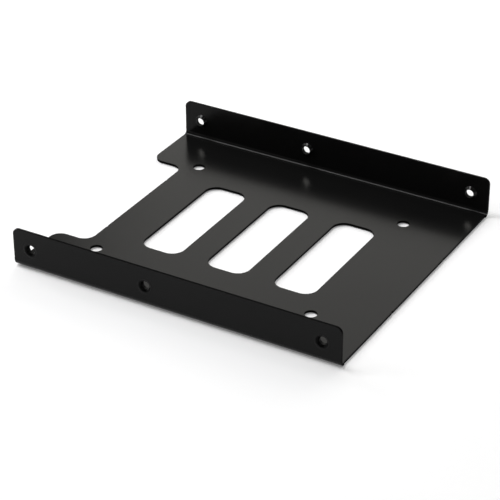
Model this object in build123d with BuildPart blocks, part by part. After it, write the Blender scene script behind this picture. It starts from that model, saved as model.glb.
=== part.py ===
"""Drive bay adapter bracket: a tray folded from one sheet of steel, in millimetres.

A small drive sits on the plate between the flanges, over its four screw holes. Six tapped holes in
the flanges take the screws of the bay. X runs along the folds, Y across from the near flange to the
far one, and Z is up. The origin is the middle of the outline, on the plate's underside.
"""

import os
from math import radians, tan

from build123d import *

# Sheet and folds
sheet = 0.8
bend_radius_inside = 1.2

# Outline of the folded bracket
outer_width = 101.6
flange_height = 13.3
flange_corner_radius = 2.0
plate_setback = 0.3

# Connector notch in the plate's left edge, which leaves one tab beside each fold
notch_depth = 12.15
notch_width = 56.6
notch_corner_radius = 4.0
tab_corner_radius = 3.8

# Screw holes of the small drive, the left pair close behind the notch
drive_hole_diameter = 4.0
drive_hole_spacing_x = 76.6
drive_hole_spacing_y = 61.72
drive_hole_inset = 4.75

# Windows across the plate, in a row set off to the right of the drive's middle
window_count = 3
window_width = 14.35
window_length = 44.8
window_corner_radius = 4.3
window_web = 9.4
window_row_shift = 2.8

# Tapped holes of the bay: a rounded mouth outside, and a drawn collar that narrows inwards
bay_hole_span = 101.6
bay_hole_first_gap = 41.6
bay_hole_end_margin = 6.3
bay_hole_height = 7.0
thread_bore_diameter = 2.8
mouth_radius = 0.8
collar_wall = 0.35
collar_reach = 0.9
collar_taper = 30

# Nicks that the parting punch leaves at its two corners, on both cut ends of the plate
nick_spacing = 35.4
nick_depth = 0.22
nick_radius = 0.45

# Values worked out from the sizes above
half_width = outer_width / 2
half_length = bay_hole_span / 2 + bay_hole_end_margin
bend_radius_outside = bend_radius_inside + sheet
inner_face = half_width - sheet
plate_right_edge = half_length - plate_setback
notch_edge = notch_depth - half_length
drive_middle = notch_edge + drive_hole_inset + drive_hole_spacing_x / 2
window_row_middle = drive_middle + window_row_shift
window_pitch = window_width + window_web
bay_hole_places = [-bay_hole_span / 2, bay_hole_first_gap - bay_hole_span / 2, bay_hole_span / 2]
collar_rim_radius = thread_bore_diameter / 2 + collar_wall
collar_root_radius = collar_rim_radius + collar_reach * tan(radians(collar_taper))
nick_inset = nick_radius - nick_depth
punch_overrun = 2 * sheet


def flange_plane(side, distance):
    """A plane through the bay holes, parallel to the flange on this side and facing the middle."""
    return Plane(origin=(0, side * distance, bay_hole_height), x_dir=(1, 0, 0), z_dir=(0, -side, 0))


with BuildPart() as bracket:
    # The folded section, a line along the outside thickened inwards
    with BuildSketch(Plane.YZ):
        with BuildLine():
            FilletPolyline(
                (-half_width, flange_height),
                (-half_width, 0),
                (half_width, 0),
                (half_width, flange_height),
                radius=bend_radius_outside,
            )
            offset(amount=sheet, side=Side.LEFT)
        make_face()
    extrude(amount=half_length, both=True)

    # Rounded upper corners of the flanges
    corner_edges = bracket.edges().filter_by(Axis.Y).group_by(Axis.Z)[-1]
    fillet(corner_edges, flange_corner_radius)

    # The plate stops a little short of the flanges' right ends
    with BuildSketch():
        with Locations((half_length, 0)):
            Rectangle(2 * plate_setback, outer_width - 2 * bend_radius_outside)
    extrude(amount=punch_overrun, both=True, mode=Mode.SUBTRACT)

    # The connector notch, with a rounded corner at its bottom and one at each tab's end
    with BuildSketch():
        with Locations((-half_length, 0)):
            Rectangle(2 * notch_depth, notch_width)
    extrude(amount=punch_overrun, both=True, mode=Mode.SUBTRACT)
    notch_corners = bracket.edges(Select.LAST).filter_by(Axis.Z).group_by(Axis.X)
    fillet(notch_corners[-1], notch_corner_radius)
    tab_corners = bracket.edges().filter_by(Axis.Z).group_by(Axis.X)[0].group_by(SortBy.LENGTH)[0]
    fillet(tab_corners, tab_corner_radius)

    # Windows and the screw holes of the small drive
    with BuildSketch():
        with Locations((window_row_middle, 0)):
            with GridLocations(window_pitch, 0, window_count, 1):
                RectangleRounded(window_width, window_length, window_corner_radius)
        with Locations((drive_middle, 0)):
            with GridLocations(drive_hole_spacing_x, drive_hole_spacing_y, 2, 2):
                Circle(drive_hole_diameter / 2)
    extrude(amount=punch_overrun, both=True, mode=Mode.SUBTRACT)

    # Nicks in the notch's edge and in the right edge
    with BuildSketch():
        with Locations((notch_edge - nick_inset, 0), (plate_right_edge + nick_inset, 0)):
            with GridLocations(0, nick_spacing, 1, 2):
                Circle(nick_radius)
    extrude(amount=punch_overrun, both=True, mode=Mode.SUBTRACT)

    # Collars drawn inwards round the tapped holes
    for side in (-1, 1):
        with BuildSketch(flange_plane(side, inner_face)):
            with Locations(*[(x, 0) for x in bay_hole_places]):
                Circle(collar_root_radius)
        extrude(amount=collar_reach, taper=collar_taper)

    # Bores for the thread, with the sheet rolled into their mouths
    for side in (-1, 1):
        with BuildSketch(flange_plane(side, half_width)):
            with Locations(*[(x, 0) for x in bay_hole_places]):
                Circle(thread_bore_diameter / 2)
        extrude(amount=sheet + collar_reach, mode=Mode.SUBTRACT)
        mouths = bracket.edges(Select.LAST).filter_by(GeomType.CIRCLE).group_by(Axis.Y)
        fillet(mouths[-1] if side > 0 else mouths[0], mouth_radius)

bracket.part.label = "bracket"

os.makedirs("parts", exist_ok=True)
export_step(bracket.part, "parts/bracket.step")
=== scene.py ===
"""Drive bay adapter bracket: satin black paint, thread in the tapped holes, floor, light and camera.

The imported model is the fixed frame, in metres: X along the folds, Y across the plate, Z up.
"""

import math

import bmesh
import bpy
from mathutils import Matrix, Vector


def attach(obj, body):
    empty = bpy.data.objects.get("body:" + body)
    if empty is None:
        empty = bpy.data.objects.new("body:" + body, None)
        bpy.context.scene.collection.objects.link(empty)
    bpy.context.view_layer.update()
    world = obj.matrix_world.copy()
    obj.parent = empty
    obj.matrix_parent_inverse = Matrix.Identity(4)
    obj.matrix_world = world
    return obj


MM = 0.001
INCH = 25.4

# Sizes of the bracket that the finish follows, in millimetres
HALF_WIDTH = 50.8
SHEET = 0.8
BEND_RADIUS = 2.0
FLANGE_HEIGHT = 13.3
FLANGE_CORNER = 2.0
FLANGE_INSIDE = HALF_WIDTH - SHEET
HALF_LENGTH = 57.1
BAY_HOLES_X = (-50.8, -9.2, 50.8)
BAY_HOLE_HEIGHT = 7.0
BORE_RADIUS = 1.4
MOUTH_RADIUS = 0.8
MOUTH_EDGE = BORE_RADIUS + MOUTH_RADIUS
COLLAR_REACH = 0.9
COLLAR_END = FLANGE_INSIDE - COLLAR_REACH
COLLAR_ROOT_RADIUS = 2.27

# The thread in the bores, a 6-32 UNC, in millimetres and degrees: a ridge that stands in from
# the bore by its height, with its crest sunk in the steel where it starts and ends
THREADS_PER_INCH = 32
THREAD_PITCH = INCH / THREADS_PER_INCH
RIDGE_HEIGHT = 0.11
RIDGE_CREST = 0.14
RIDGE_FLANK = 30
RIDGE_ROOT_RADIUS = 1.62
RIDGE_SUNK = 0.12
RIDGE_FROM_COLLAR_END = 0.3
RIDGE_FROM_OUTSIDE = 0.35
TURN_SEGMENTS = 48
RUN_OUT_SEGMENTS = TURN_SEGMENTS // 5
SHARP_ANGLE = 30

# Where the paint changes, in millimetres: margins, and how soft each change is
END_ZONE = 1.0
EDGE_SOFTNESS = 0.05
OUTSIDE_MARGIN = 0.1
FACE_MARGIN = 0.05
FACE_SOFTNESS = 0.04
BORE_MARGIN = 0.2
HOLE_SOFTNESS = 0.1
MOUTH_SOFTNESS = 0.15
LIP_MARGIN = 0.15
LIP_HALF_WIDTH = 0.22
LIP_SOFTNESS = 0.2

# A face looks along an axis where its normal's part on that axis is above the first of these,
# and lies along the axis where that part is below the second
LOOKS_ALONG = 0.7
LIES_ALONG = 0.3
FACING_SOFTNESS = 0.05

# The paint's colours, gloss and roughness
PAINT_DARK = (0.0048, 0.0048, 0.0049, 1)
PAINT_GREY = (0.0065, 0.0065, 0.0063, 1)
# The darkest colour: the dull cut faces, and painted shade in the bay holes' bores and mouths
PAINT_CUT_AND_HOLE_SHADE = (0.0010, 0.0010, 0.0010, 1)
PAINT_IOR = 1.20
SHINE = 0.5
SHINE_ON_COLLARS = 0.45
SHINE_LOST = 0.42
# How far the bores and mouths take that dark colour and lose shine, as painted shade
HOLE_SHADE_AMOUNT = 0.75
ROUGHNESS = 0.21
ROUGHNESS_GRAIN = 0.06
ROUGHNESS_CLOUDS = 0.05
ROUGHNESS_CUT = 0.30

# The paint's patterns, in features per millimetre
CLOUDS_SCALE = 0.06
GRAIN_SCALE = 4.0
WAVES_SCALE = 0.035
STREAKS_SCALE = (9.0, 9.0, 0.9)

# Height of the paint's relief, in metres, and how strongly each part of it shows
WAVES_RELIEF = 0.00004
GRAIN_RELIEF = 0.00001
LIP_RELIEF = 0.00005
STREAKS_RELIEF = 0.00004
WAVES_STRENGTH = 1.0
GRAIN_STRENGTH = 0.15
LIP_STRENGTH = 0.8
STREAKS_STRENGTH = 0.6

# The floor, a disc that curves up at its rim, in metres and degrees
FLOOR_RADIUS = 2.5
RIM_RADIUS = 0.4
RIM_STEP = 9
QUARTER_TURN = 90
FLOOR_SEGMENTS = 96
FLOOR_GAP = 0.0003

# The floor's colour, what lifts it near the bracket, where 1 is plain white, and the distance
# in metres at which the lift is halfway to 1
FLOOR_COLOUR = (0.88, 0.88, 0.885, 1)
FLOOR_LIFT = 0.13
FLOOR_FADE = 1.0
FLOOR_FADE_SOFTNESS = 0.6

# The light: the dim surround, the soft boxes' distance in metres, and their colours
SURROUND_STRENGTH = 0.08
LAMP_DISTANCE = 1.2
WHITE = (1.0, 1.0, 1.0)
WARM_WHITE = (1.0, 0.985, 0.94)

# The camera, solved from the bracket's edges and holes: lens and place in millimetres, its three
# directions, and the distances in metres between which it sees
SENSOR_WIDTH = 36.0
FOCAL_LENGTH = 142.29
CAMERA_PLACE = (269.81, -467.27, 316.83)
CAMERA_RIGHT = (0.86470, 0.50228, -0.00222)
CAMERA_UP = (-0.25497, 0.44276, 0.85962)
CAMERA_BACK = (0.43275, -0.74275, 0.51092)
NEAREST_SEEN = 0.01
FARTHEST_SEEN = 50.0

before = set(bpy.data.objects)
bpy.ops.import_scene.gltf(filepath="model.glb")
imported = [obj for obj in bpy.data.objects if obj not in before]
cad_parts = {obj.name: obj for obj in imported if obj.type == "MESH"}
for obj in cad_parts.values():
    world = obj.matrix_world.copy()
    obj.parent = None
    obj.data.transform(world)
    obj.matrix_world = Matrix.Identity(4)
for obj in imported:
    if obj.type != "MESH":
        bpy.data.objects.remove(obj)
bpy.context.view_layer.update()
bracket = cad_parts["bracket"]


class Nodes:
    """Builds a node tree with short calls: each adds a node and wires or sets its inputs."""

    def __init__(self, tree):
        self.tree = tree
        tree.nodes.clear()

    def add(self, kind, inputs=None, **settings):
        node = self.tree.nodes.new(kind)
        for name, value in settings.items():
            setattr(node, name, value)
        for key, value in (inputs or {}).items():
            socket = node.inputs[key]
            if isinstance(value, bpy.types.NodeSocket):
                self.tree.links.new(value, socket)
            else:
                socket.default_value = value
        return node

    def math(self, operation, a, b=0.0, c=0.0, clamp=False):
        node = self.add("ShaderNodeMath", {0: a, 1: b, 2: c}, operation=operation, use_clamp=clamp)
        return node.outputs[0]

    def step(self, value, edge, softness):
        """0 below the edge and 1 above it, over a soft stretch."""
        node = self.add(
            "ShaderNodeMapRange",
            {"Value": value, "From Min": edge - softness, "From Max": edge + softness},
            interpolation_type="SMOOTHSTEP",
        )
        return node.outputs["Result"]

    def below(self, value, edge, softness):
        """1 below the edge and 0 above it, over a soft stretch."""
        return self.math("SUBTRACT", 1.0, self.step(value, edge, softness))

    def noise(self, vector, scale, detail=2.0, roughness=0.5):
        node = self.add(
            "ShaderNodeTexNoise",
            {"Vector": vector, "Scale": scale, "Detail": detail, "Roughness": roughness},
        )
        return node.outputs["Fac"]

    def mix(self, factor, a, b):
        node = self.add("ShaderNodeMix", {"Factor": factor, "A": a, "B": b}, data_type="RGBA")
        return node.outputs["Result"]

    def bump(self, height, distance, strength, normal=None):
        """The normal over a relief of that height, on top of an earlier relief if one is given."""
        inputs = {"Strength": strength, "Distance": distance, "Height": height}
        if normal is not None:
            inputs["Normal"] = normal
        return self.add("ShaderNodeBump", inputs).outputs["Normal"]


def black_paint():
    """Thin satin paint on sheet steel.

    It lies rougher and darker where the sheet was cut, is dull and darkened in the bay holes as
    painted shade, and shines more on their collars.
    """
    material = bpy.data.materials.new("satin_black_paint")
    material.use_nodes = True
    n = Nodes(material.node_tree)
    place = n.add("ShaderNodeTexCoord").outputs["Object"]
    millimetres = n.add("ShaderNodeVectorMath", {0: place, "Scale": 1 / MM}, operation="SCALE").outputs[0]
    xyz = n.add("ShaderNodeSeparateXYZ", {0: millimetres})
    x_size = n.math("ABSOLUTE", xyz.outputs["X"])
    y_size = n.math("ABSOLUTE", xyz.outputs["Y"])
    height = xyz.outputs["Z"]
    facing = n.add("ShaderNodeNewGeometry").outputs["True Normal"]
    facing_xyz = n.add("ShaderNodeSeparateXYZ", {0: facing})
    nx = n.math("ABSOLUTE", facing_xyz.outputs["X"])
    ny = n.math("ABSOLUTE", facing_xyz.outputs["Y"])
    nz = n.math("ABSOLUTE", facing_xyz.outputs["Z"])

    # Cut faces: the ends, the upper edges of the flanges, and every wall cut through the plate
    at_end = n.step(x_size, HALF_LENGTH - END_ZONE, EDGE_SOFTNESS)
    end_face = n.math("MULTIPLY", n.step(nx, LOOKS_ALONG, FACING_SOFTNESS), at_end)
    at_top = n.step(height, FLANGE_HEIGHT - FLANGE_CORNER - EDGE_SOFTNESS, EDGE_SOFTNESS)
    upper_edge = n.math("MULTIPLY", n.below(ny, LIES_ALONG, FACING_SOFTNESS), at_top)
    low_down = n.below(height, SHEET + EDGE_SOFTNESS, EDGE_SOFTNESS)
    in_plate = n.math("MULTIPLY", low_down, n.below(y_size, HALF_WIDTH - BEND_RADIUS, EDGE_SOFTNESS))
    plate_wall = n.math("MULTIPLY", n.below(nz, LIES_ALONG, FACING_SOFTNESS), in_plate)
    cut = n.math("MAXIMUM", n.math("MAXIMUM", end_face, upper_edge), plate_wall)

    # Distance from the axis of the nearest bay hole
    up = n.math("SUBTRACT", height, BAY_HOLE_HEIGHT)
    up_squared = n.math("MULTIPLY", up, up)
    from_hole = None
    for hole_x in BAY_HOLES_X:
        along = n.math("SUBTRACT", xyz.outputs["X"], hole_x)
        reach = n.math("SQRT", n.math("MULTIPLY_ADD", along, along, up_squared))
        from_hole = reach if from_hole is None else n.math("MINIMUM", from_hole, reach)

    # The lip raised round each hole on the outside
    from_lip = n.math("ABSOLUTE", n.math("SUBTRACT", from_hole, MOUTH_EDGE + LIP_MARGIN))
    lip = n.below(from_lip, LIP_HALF_WIDTH, LIP_SOFTNESS)
    outside = n.step(y_size, HALF_WIDTH - OUTSIDE_MARGIN, EDGE_SOFTNESS)

    # The bore and mouth of each hole, dull and darkened as painted shade, and its glossy collar
    in_collar = n.step(y_size, COLLAR_END + FACE_MARGIN, FACE_SOFTNESS)
    in_bore = n.math("MULTIPLY", n.below(from_hole, BORE_RADIUS + BORE_MARGIN, HOLE_SOFTNESS), in_collar)
    in_sheet = n.step(y_size, FLANGE_INSIDE + FACE_MARGIN, FACE_SOFTNESS)
    in_mouth = n.math("MULTIPLY", n.below(from_hole, MOUTH_EDGE - MOUTH_SOFTNESS, MOUTH_SOFTNESS), in_sheet)
    in_hole = n.math("MAXIMUM", in_bore, in_mouth)
    # Painted shade in the holes: the bores and mouths take the dark dull colour and lose shine, as the cut
    # faces do
    dull_cut_and_hole_shade = n.math("MAXIMUM", cut, n.math("MULTIPLY", in_hole, HOLE_SHADE_AMOUNT))
    between_flanges = n.below(y_size, FLANGE_INSIDE - FACE_MARGIN, FACE_SOFTNESS)
    on_collar = n.math("MULTIPLY", n.below(from_hole, COLLAR_ROOT_RADIUS, HOLE_SOFTNESS), between_flanges)
    glossy = n.math("MULTIPLY", on_collar, n.math("SUBTRACT", 1.0, dull_cut_and_hole_shade))

    # Colour: near black, a little greyer in faint clouds, darker on the dull cut faces, and darkened in the
    # holes as painted shade
    clouds = n.noise(millimetres, CLOUDS_SCALE, detail=3.0)
    colour = n.mix(dull_cut_and_hole_shade, n.mix(clouds, PAINT_DARK, PAINT_GREY), PAINT_CUT_AND_HOLE_SHADE)

    # Gloss: even satin with fine grain, rough on the cut faces
    grain = n.noise(millimetres, GRAIN_SCALE, detail=3.0, roughness=0.6)
    satin = n.math("MULTIPLY_ADD", n.math("SUBTRACT", grain, 0.5), ROUGHNESS_GRAIN, ROUGHNESS)
    satin = n.math("MULTIPLY_ADD", n.math("SUBTRACT", clouds, 0.5), ROUGHNESS_CLOUDS, satin)
    roughness = n.math("MULTIPLY_ADD", cut, ROUGHNESS_CUT, satin, clamp=True)
    shine = n.math("MULTIPLY_ADD", glossy, SHINE_ON_COLLARS, SHINE)
    shine = n.math("MULTIPLY_ADD", dull_cut_and_hole_shade, -SHINE_LOST, shine)

    # Relief: slow waves of the sheet, the paint's fine grain, the lips, and streaks where the
    # punch tore the edge
    waves = n.noise(millimetres, WAVES_SCALE, detail=1.0)
    streak_place = n.add("ShaderNodeVectorMath", {0: millimetres, 1: STREAKS_SCALE}, operation="MULTIPLY")
    streaks = n.noise(streak_place.outputs[0], 1.0, detail=2.0)
    relief = n.bump(waves, WAVES_RELIEF, WAVES_STRENGTH)
    relief = n.bump(grain, GRAIN_RELIEF, GRAIN_STRENGTH, relief)
    relief = n.bump(lip, LIP_RELIEF, n.math("MULTIPLY", outside, LIP_STRENGTH), relief)
    relief = n.bump(streaks, STREAKS_RELIEF, n.math("MULTIPLY", cut, STREAKS_STRENGTH), relief)

    shader = n.add(
        "ShaderNodeBsdfPrincipled",
        {
            "Base Color": colour,
            "Roughness": roughness,
            "IOR": PAINT_IOR,
            "Specular IOR Level": shine,
            "Normal": relief,
        },
    )
    n.add("ShaderNodeOutputMaterial", {"Surface": shader.outputs[0]})
    return material


def thread(mesh, hole_x, side):
    """A helical ridge, rooted in the steel, that runs out at both ends of the straight bore."""
    deep = COLLAR_END + RIDGE_FROM_COLLAR_END
    shallow = HALF_WIDTH - RIDGE_FROM_OUTSIDE
    start, end = (deep, shallow) if side > 0 else (-shallow, -deep)
    steps = round((end - start) / THREAD_PITCH * TURN_SEGMENTS)
    rings = []
    for i in range(steps + 1):
        angle = -math.tau * i / TURN_SEGMENTS
        rise = min(i, steps - i, RUN_OUT_SEGMENTS) / RUN_OUT_SEGMENTS
        crest_radius = BORE_RADIUS + RIDGE_SUNK - rise * (RIDGE_SUNK + RIDGE_HEIGHT)
        crest = RIDGE_CREST / 2
        root = crest + (RIDGE_ROOT_RADIUS - crest_radius) * math.tan(math.radians(RIDGE_FLANK))
        middle = start + THREAD_PITCH * i / TURN_SEGMENTS
        section = (
            (RIDGE_ROOT_RADIUS, -root),
            (crest_radius, -crest),
            (crest_radius, crest),
            (RIDGE_ROOT_RADIUS, root),
        )
        ring = []
        for radius, off in section:
            x = hole_x + radius * math.cos(angle)
            z = BAY_HOLE_HEIGHT + radius * math.sin(angle)
            ring.append(mesh.verts.new(Vector((x, middle + off, z)) * MM))
        rings.append(ring)
    corners = len(rings[0])
    for one, two in zip(rings, rings[1:]):
        for k in range(corners):
            after = (k + 1) % corners
            mesh.faces.new((one[k], one[after], two[after], two[k]))
    mesh.faces.new(rings[0][::-1])
    mesh.faces.new(rings[-1])


def threads(material):
    """The thread of all six bay holes, as one piece."""
    mesh = bmesh.new()
    for side in (-1, 1):
        for hole_x in BAY_HOLES_X:
            thread(mesh, hole_x, side)
    bmesh.ops.recalc_face_normals(mesh, faces=mesh.faces)
    data = bpy.data.meshes.new("bay_hole_threads")
    mesh.to_mesh(data)
    mesh.free()
    data.shade_smooth()
    data.set_sharp_from_angle(angle=math.radians(SHARP_ANGLE))
    data.materials.append(material)
    piece = bpy.data.objects.new("bay_hole_threads", data)
    bpy.context.scene.collection.objects.link(piece)
    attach(piece, "root")


def white_floor():
    """Matt white; what the camera or a reflection sees is lifted, to plain white far from the bracket."""
    material = bpy.data.materials.new("white_floor")
    material.use_nodes = True
    n = Nodes(material.node_tree)
    path = n.add("ShaderNodeLightPath")
    seen = n.math("MAXIMUM", path.outputs["Is Camera Ray"], path.outputs["Is Glossy Ray"])
    seen = n.math("MAXIMUM", seen, path.outputs["Is Transmission Ray"])
    place = n.add("ShaderNodeTexCoord").outputs["Object"]
    away = n.add("ShaderNodeVectorMath", {0: place}, operation="LENGTH").outputs["Value"]
    far_off = n.step(away, FLOOR_FADE, FLOOR_FADE_SOFTNESS)
    lift = n.math("MULTIPLY_ADD", far_off, 1.0 - FLOOR_LIFT, FLOOR_LIFT)
    diffuse = n.add("ShaderNodeBsdfDiffuse", {"Color": FLOOR_COLOUR})
    glow = n.add("ShaderNodeEmission", {"Strength": n.math("MULTIPLY", seen, lift)})
    both = n.add("ShaderNodeAddShader", {0: diffuse.outputs[0], 1: glow.outputs[0]})
    n.add("ShaderNodeOutputMaterial", {"Surface": both.outputs[0]})
    return material


def wide_floor():
    """A wide white floor that curves up at its rim."""
    mesh = bmesh.new()
    turns = [math.tau * k / FLOOR_SEGMENTS for k in range(FLOOR_SEGMENTS)]
    rings = []
    for degrees in range(0, QUARTER_TURN + 1, RIM_STEP):
        bend = math.radians(degrees)
        radius = FLOOR_RADIUS + RIM_RADIUS * math.sin(bend)
        rise = RIM_RADIUS - RIM_RADIUS * math.cos(bend)
        rings.append([mesh.verts.new((radius * math.cos(t), radius * math.sin(t), rise)) for t in turns])
    mesh.faces.new(rings[0])
    for low_ring, high_ring in zip(rings, rings[1:]):
        for k in range(FLOOR_SEGMENTS):
            after = (k + 1) % FLOOR_SEGMENTS
            face = mesh.faces.new((low_ring[k], high_ring[k], high_ring[after], low_ring[after]))
            face.smooth = True
    data = bpy.data.meshes.new("floor")
    mesh.to_mesh(data)
    mesh.free()
    data.materials.append(white_floor())
    floor = bpy.data.objects.new("floor", data)
    floor.location.z = -FLOOR_GAP
    bpy.context.scene.collection.objects.link(floor)


def dim_surround():
    """The same dim white from every side."""
    world = bpy.data.worlds.new("surround")
    bpy.context.scene.world = world
    world.use_nodes = True
    n = Nodes(world.node_tree)
    background = n.add("ShaderNodeBackground", {"Strength": SURROUND_STRENGTH})
    n.add("ShaderNodeOutputWorld", {"Surface": background.outputs[0]})


def soft_box(name, azimuth, elevation, width, depth, radiance, colour=WHITE):
    """A rectangular lamp that faces the bracket, with its angles in degrees and its sides in metres."""
    lamp = bpy.data.lights.new(name, "AREA")
    lamp.shape = "RECTANGLE"
    lamp.size = width
    lamp.size_y = depth
    lamp.color = colour
    lamp.energy = radiance * math.pi * width * depth
    turn, tilt = math.radians(azimuth), math.radians(elevation)
    out = Vector((math.cos(tilt) * math.cos(turn), math.cos(tilt) * math.sin(turn), math.sin(tilt)))
    holder = bpy.data.objects.new(name, lamp)
    holder.location = out * LAMP_DISTANCE
    holder.rotation_euler = out.to_track_quat("Z", "Y").to_euler()
    bpy.context.scene.collection.objects.link(holder)


def soft_boxes():
    """Six soft boxes round the bracket, of which the one overhead is the brightest."""
    soft_box("box_overhead", azimuth=-173, elevation=64, width=0.3, depth=0.55, radiance=12.8)
    soft_box("box_left", azimuth=-174, elevation=27, width=1.0, depth=0.5, radiance=5.1)
    soft_box("box_front", azimuth=-50, elevation=55, width=0.7, depth=0.4, radiance=3.1)
    soft_box("box_back", azimuth=98, elevation=31, width=1.2, depth=0.75, radiance=1.78, colour=WARM_WHITE)
    soft_box("box_high_back", azimuth=140, elevation=55, width=0.5, depth=0.4, radiance=2.0)
    soft_box("box_right_back", azimuth=62, elevation=24, width=0.9, depth=0.45, radiance=0.9)


def camera():
    """The photograph's viewpoint."""
    data = bpy.data.cameras.new("camera")
    data.sensor_width = SENSOR_WIDTH
    data.lens = FOCAL_LENGTH
    data.clip_start = NEAREST_SEEN
    data.clip_end = FARTHEST_SEEN
    holder = bpy.data.objects.new("camera", data)
    turn = Matrix((CAMERA_RIGHT, CAMERA_UP, CAMERA_BACK)).transposed().to_4x4()
    holder.matrix_world = Matrix.Translation(Vector(CAMERA_PLACE) * MM) @ turn
    bpy.context.scene.collection.objects.link(holder)
    bpy.context.scene.camera = holder


paint = black_paint()
for material_slot in bracket.material_slots:
    material_slot.material = paint
threads(paint)

wide_floor()
dim_surround()
soft_boxes()
camera()

scene = bpy.context.scene
scene.view_settings.view_transform = "Standard"

bpy.context.view_layer.update()
